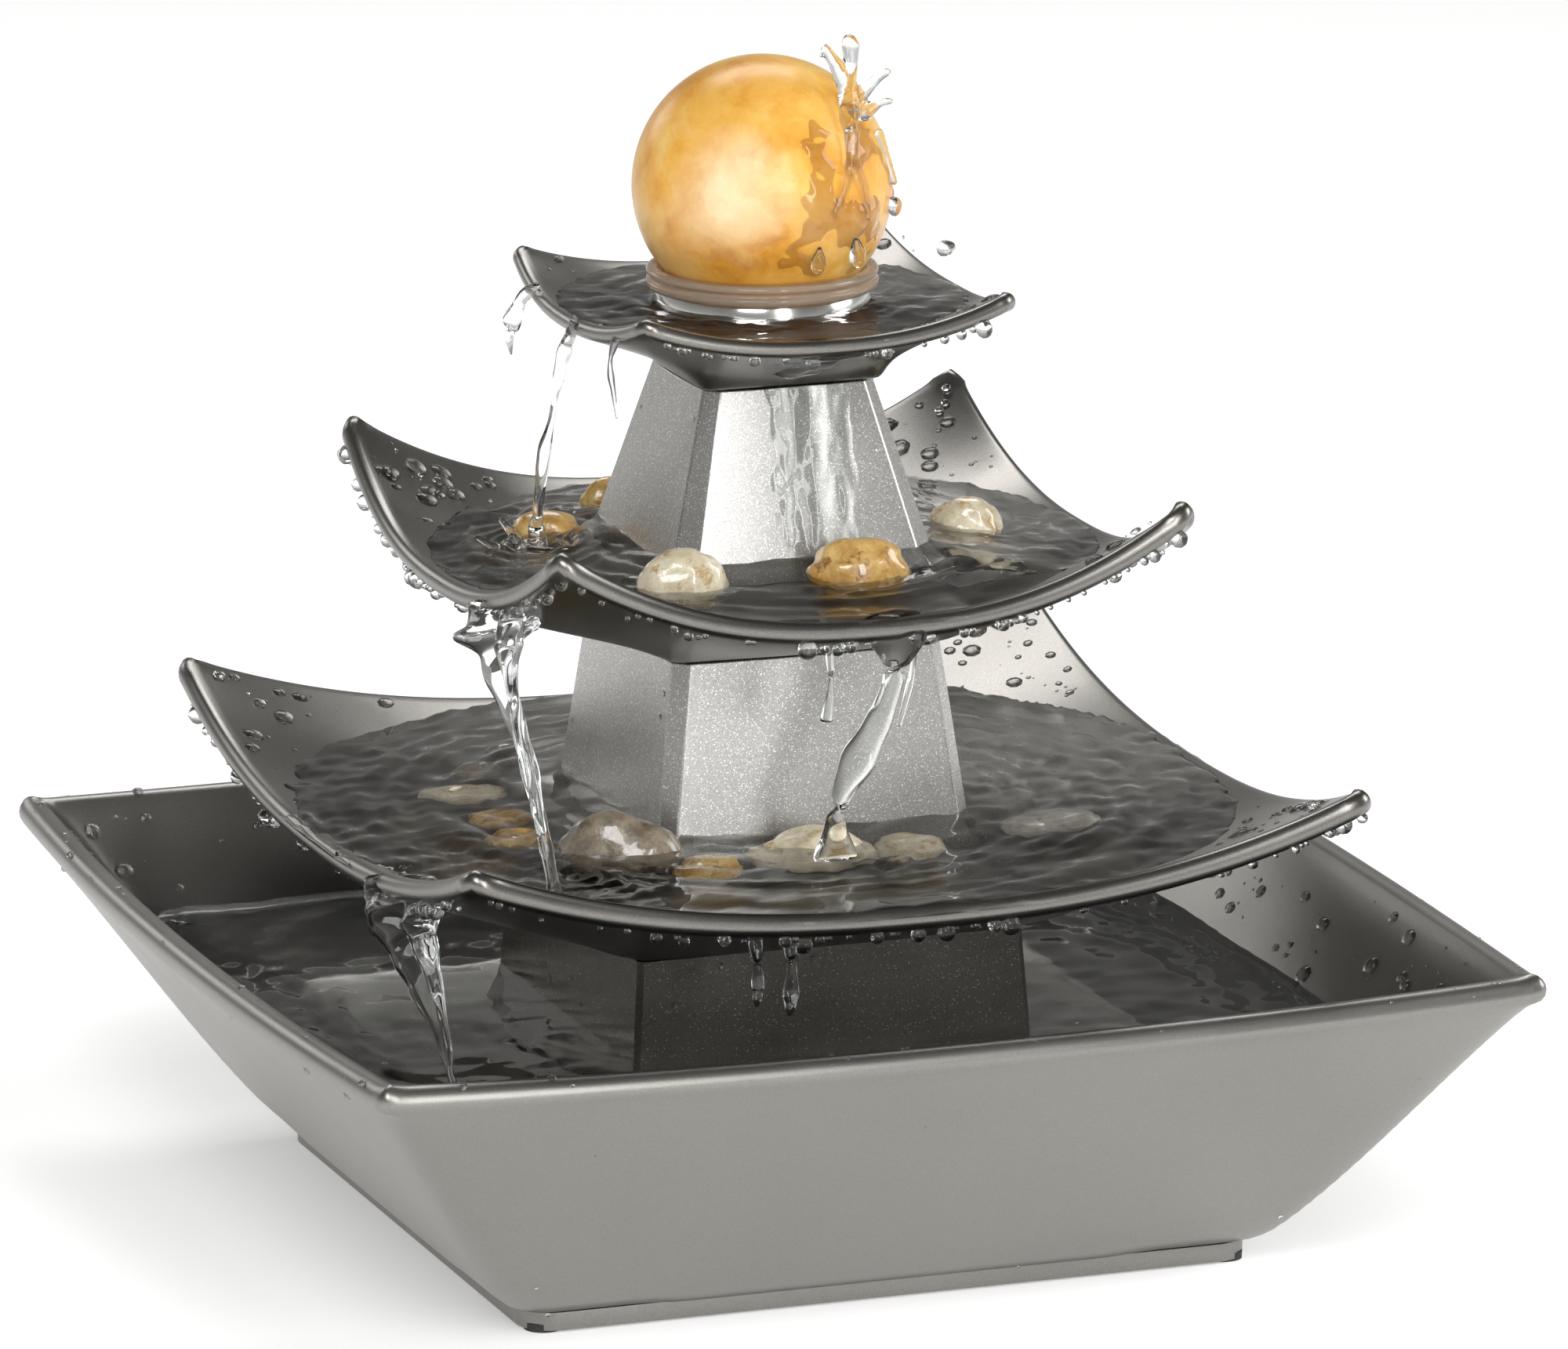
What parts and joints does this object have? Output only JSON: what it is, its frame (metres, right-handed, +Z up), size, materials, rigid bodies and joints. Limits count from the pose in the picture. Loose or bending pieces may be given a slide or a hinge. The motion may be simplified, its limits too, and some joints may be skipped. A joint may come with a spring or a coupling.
{
  "type": "tabletop water fountain",
  "caption": "Square metallic tabletop fountain with upswept stacked dishes on tapered columns, a basin with a hidden pump, river pebbles and a turning stone ball",
  "frame": {"origin": "middle of the footprint, on the surface the foot pads stand on", "axes": "+Z up, +X to the right along the front of the basin, +Y to the back; the pump's strainer faces the front"},
  "size_m": [0.2632, 0.2632, 0.248],
  "materials": {
    "basin_pewter": "satin pewter metallic coat on a cast shell, fine grain",
    "dish_pewter": "satin dark pewter metallic coat, bright worn rims",
    "column_silver": "bead-blasted silver metallic coat with a strong fine sparkle",
    "cover_bronze": "darker bronze-grey metallic coat with a fine speckle",
    "collar_chrome": "polished",
    "clear_acrylic": "clear polished acrylic",
    "ball_onyx": "polished honey onyx with cream clouds and orange veins",
    "clear_vinyl": "clear soft vinyl",
    "rubber_black": "matte",
    "pump_plastic": "moulded, fine texture",
    "dial_plastic": "moulded",
    "rotor_plastic": "moulded over a magnet",
    "shaft_ceramic": "ground",
    "pebble_brown": "wet river pebble, brown and rust",
    "pebble_cream": "wet river pebble, cream with tan streaks",
    "pebble_amber": "wet river pebble, amber",
    "pebble_grey": "wet river pebble, flat grey",
    "water": "clear running water"
  },
  "bodies": {
    "basin": {"basin": "basin_pewter", "foot_pads": "rubber_black", "cord_bung": "rubber_black", "suction_cups": "rubber_black", "pump_body": "pump_plastic", "pump_gland": "rubber_black", "outlet_adaptor": "pump_plastic", "impeller_cover": "pump_plastic", "impeller_shaft": "shaft_ceramic", "shaft_bushes": "rubber_black"},
    "tower": {"pump_cover": "cover_bronze", "tier_large": "dish_pewter", "column_lower": "column_silver", "tier_medium": "dish_pewter", "column_upper": "column_silver", "tier_small": "dish_pewter", "ball_collar": "collar_chrome", "supply_tube": "clear_vinyl", "tube_grommets": "rubber_black", "pebble_1": "pebble_brown", "pebble_2": "pebble_cream", "pebble_3": "pebble_amber", "pebble_4": "pebble_cream", "pebble_5": "pebble_grey", "pebble_6": "pebble_amber", "pebble_7": "pebble_cream", "pebble_8": "pebble_amber", "pebble_9": "pebble_brown", "pebble_10": "pebble_brown", "pebble_11": "pebble_amber", "pebble_12": "pebble_cream", "pebble_13": "pebble_amber", "pebble_14": "pebble_cream", "pebble_15": "pebble_amber"},
    "cup": {"ball_cup": "clear_acrylic"},
    "ball": {"ball": "ball_onyx"},
    "impeller": {"impeller": "rotor_plastic"},
    "strainer": {"pump_strainer": "pump_plastic"},
    "dial": {"flow_dial": "dial_plastic"}
  },
  "joints": [
    {"name": "tower_lift", "type": "slide", "parent": "basin", "child": "tower", "axis": [0, 0, 1], "range_m": [0, 0.08]},
    {"name": "cup_lift", "type": "slide", "parent": "tower", "child": "cup", "axis": [0, 0, 1], "range_m": [0, 0.03]},
    {"name": "ball_roll", "type": "hinge", "parent": "cup", "child": "ball", "pos_m": [0, 0, 0.2206], "axis": [1, 0, 0], "continuous": true},
    {"name": "impeller_spin", "type": "hinge", "parent": "basin", "child": "impeller", "pos_m": [0, 0, 0.031], "axis": [0, 1, 0], "continuous": true},
    {"name": "strainer_slide", "type": "slide", "parent": "basin", "child": "strainer", "axis": [0, -1, 0], "range_m": [0, 0.012]},
    {"name": "flow_dial_turn", "type": "hinge", "parent": "strainer", "child": "dial", "pos_m": [0, -0.02, 0.031], "axis": [0, 1, 0], "range_deg": [0, 90]}
  ]
}
